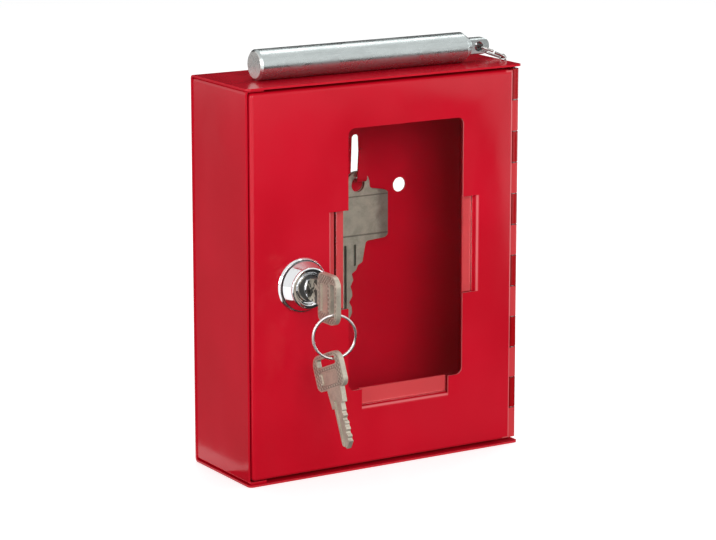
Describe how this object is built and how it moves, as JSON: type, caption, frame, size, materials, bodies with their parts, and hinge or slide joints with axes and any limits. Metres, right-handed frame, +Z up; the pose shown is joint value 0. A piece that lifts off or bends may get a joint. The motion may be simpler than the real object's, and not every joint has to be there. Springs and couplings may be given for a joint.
{
  "type": "break glass key box",
  "caption": "Wall-mounted emergency key box with a cam locked hinged door, a replaceable glass pane, a key on a hook inside, and a striker rod on a chain.",
  "frame": {"origin": "centre of the bottom plate's underside", "axes": "+Z up, +Y towards the wall, +X to the right of someone facing the door"},
  "size_m": [0.1287, 0.0784, 0.167],
  "materials": {
    "red_paint": "smooth glossy red powder coat",
    "pin_steel": "drawn steel wire, lightly oiled",
    "clear_glass": "thin clear float glass with ground edges",
    "lock_chrome": "polished chrome on die cast zinc",
    "zinc_plate": "bright zinc plated steel",
    "wafer_brass": "blanked brass",
    "key_nickel": "dull nickel silver with a hatched bow",
    "ring_steel": "bright nickel plated wire",
    "rod_zinc": "zinc plated turned steel with fine scratches"
  },
  "bodies": {
    "box": {"back_shell": "red_paint", "left_side_panel": "red_paint", "right_side_panel": "red_paint", "catch_bracket": "red_paint", "hinge_pin": "pin_steel", "hammer_chain": "ring_steel", "chain_anchor": "zinc_plate"},
    "door": {"door_panel": "red_paint", "lock_housing": "lock_chrome", "lock_washer": "zinc_plate", "lock_nut": "zinc_plate"},
    "pane": {"glass_pane": "clear_glass"},
    "plug": {"lock_plug": "lock_chrome", "lock_wafers": "wafer_brass", "lock_cam": "zinc_plate", "cam_washer": "zinc_plate", "cam_screw": "zinc_plate"},
    "key": {"lock_key": "key_nickel"},
    "ring": {"key_ring": "ring_steel"},
    "spare": {"spare_key": "key_nickel"},
    "stored": {"stored_key": "key_nickel"},
    "striker": {"hammer": "rod_zinc", "hammer_ring": "ring_steel"}
  },
  "joints": [
    {"name": "door_swing", "type": "hinge", "parent": "box", "child": "door", "pos_m": [0.06057, -0.01897, 0.0777], "axis": [0, 0, 1], "range_deg": [0, 170]},
    {"name": "pane_lift", "type": "slide", "parent": "door", "child": "pane", "axis": [0, 0, 1], "range_m": [0, 0.009]},
    {"name": "lock_turn", "type": "hinge", "parent": "door", "child": "plug", "pos_m": [-0.0383, -0.02, 0.0771], "axis": [0, 1, 0], "range_deg": [0, 90]},
    {"name": "key_pull", "type": "slide", "parent": "plug", "child": "key", "axis": [0, -1, 0], "range_m": [0, 0.022]},
    {"name": "ring_swing", "type": "hinge", "parent": "key", "child": "ring", "pos_m": [-0.0383, -0.04515, 0.07015], "axis": [0.9703, -0.2419, 0], "range_deg": [-60, 20]},
    {"name": "spare_key_swing", "type": "hinge", "parent": "ring", "child": "spare", "pos_m": [-0.0383, -0.04515, 0.05335], "axis": [0.9703, -0.2419, 0], "range_deg": [-30, 30]},
    {"name": "stored_key_swing", "type": "hinge", "parent": "box", "child": "stored", "pos_m": [0.0109, 0.02, 0.10502], "axis": [0, 1, 0], "range_deg": [-25, 25]},
    {"name": "hammer_lift", "type": "hinge", "parent": "box", "child": "striker", "pos_m": [0.06414, -0.0053, 0.15534], "axis": [0, 1, 0], "range_deg": [0, 120]}
  ]
}
